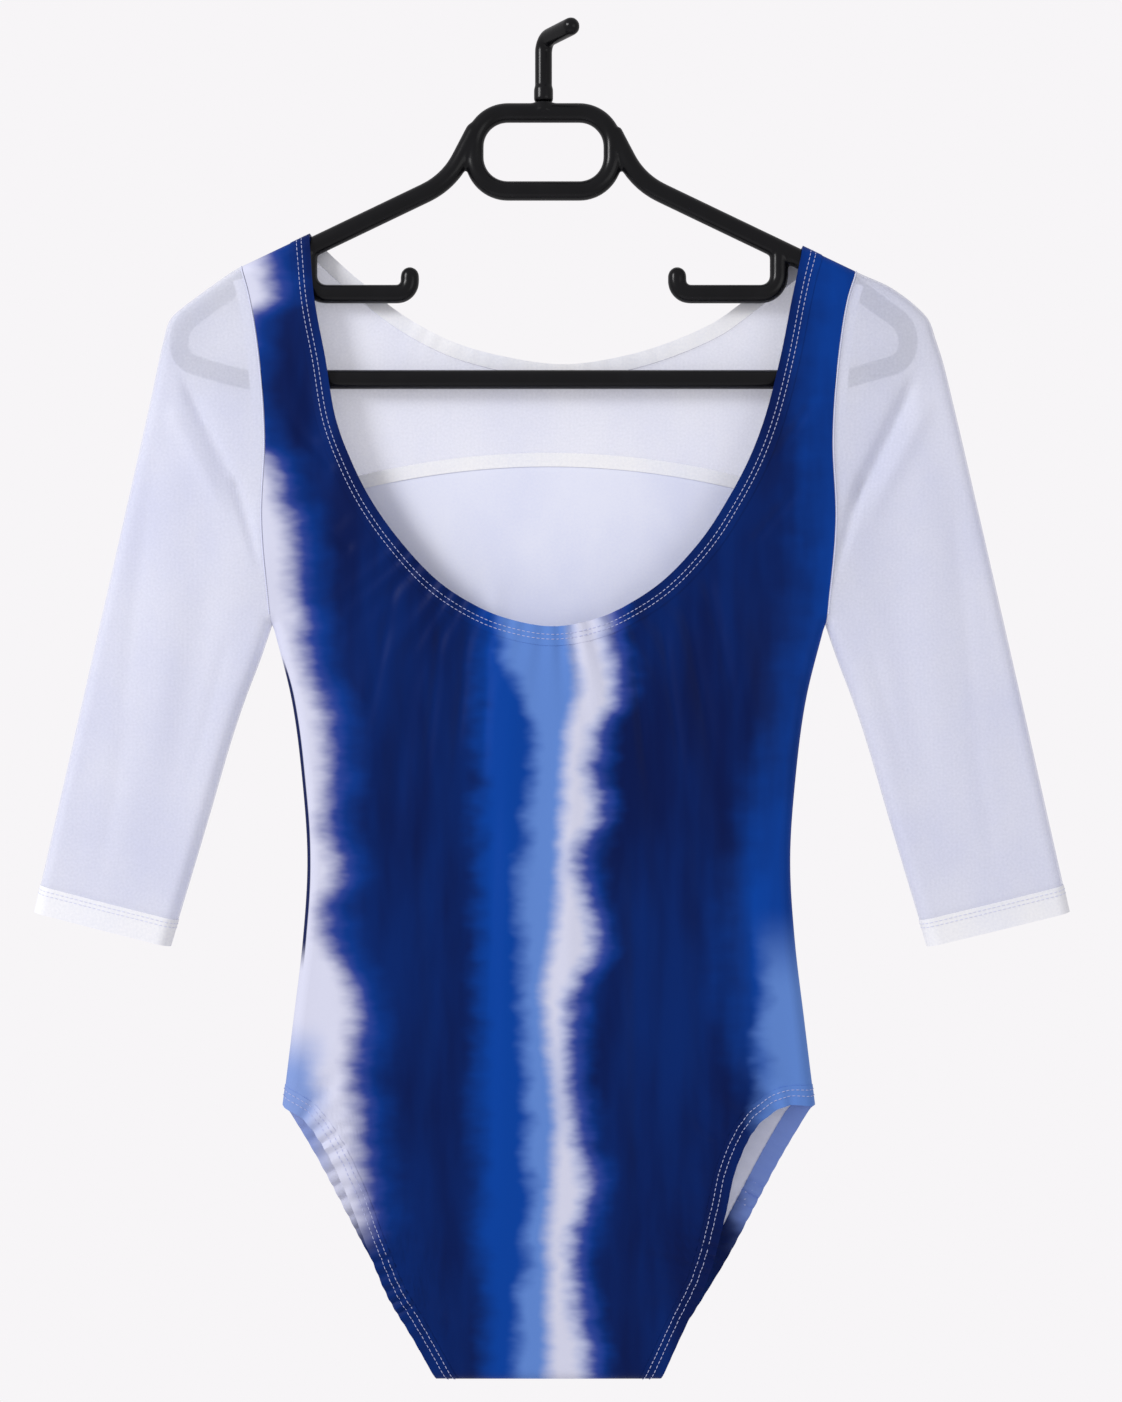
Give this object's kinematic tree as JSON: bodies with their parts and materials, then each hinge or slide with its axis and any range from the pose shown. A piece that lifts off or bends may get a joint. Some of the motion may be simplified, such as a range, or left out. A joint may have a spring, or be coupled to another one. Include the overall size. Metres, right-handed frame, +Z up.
{
  "type": "leotard on a hanger",
  "caption": "Sleeved leotard with a deep scoop front, sheer mesh back yoke and sleeves, high-cut legs, hanging on a tubular plastic hanger.",
  "frame": {"origin": "underside of the hook's crown, where a rail bears", "axes": "+Z up along the hanging garment, +X to the right as seen from the scooped side, -Y towards the viewer"},
  "size_m": [0.5692, 0.0401, 0.7405],
  "materials": {
    "printed_jersey": "satin stretch knit",
    "sheer_mesh": "fine stretch mesh",
    "black_plastic": "moulded gloss"
  },
  "bodies": {
    "root": {"front_panel": "printed_jersey", "back_panel": "printed_jersey", "back_yoke": "sheer_mesh", "sleeve_left": "sheer_mesh", "sleeve_right": "sheer_mesh", "cuff_hem_left": "sheer_mesh", "cuff_hem_right": "sheer_mesh", "neck_band_front": "printed_jersey", "neck_band_back": "sheer_mesh", "leg_band_front_left": "printed_jersey", "leg_band_front_right": "printed_jersey", "leg_band_back_left": "printed_jersey", "leg_band_back_right": "printed_jersey", "yoke_seam_allowance": "sheer_mesh", "hanger_frame": "black_plastic", "hanger_hook": "black_plastic"}
  },
  "joints": []
}
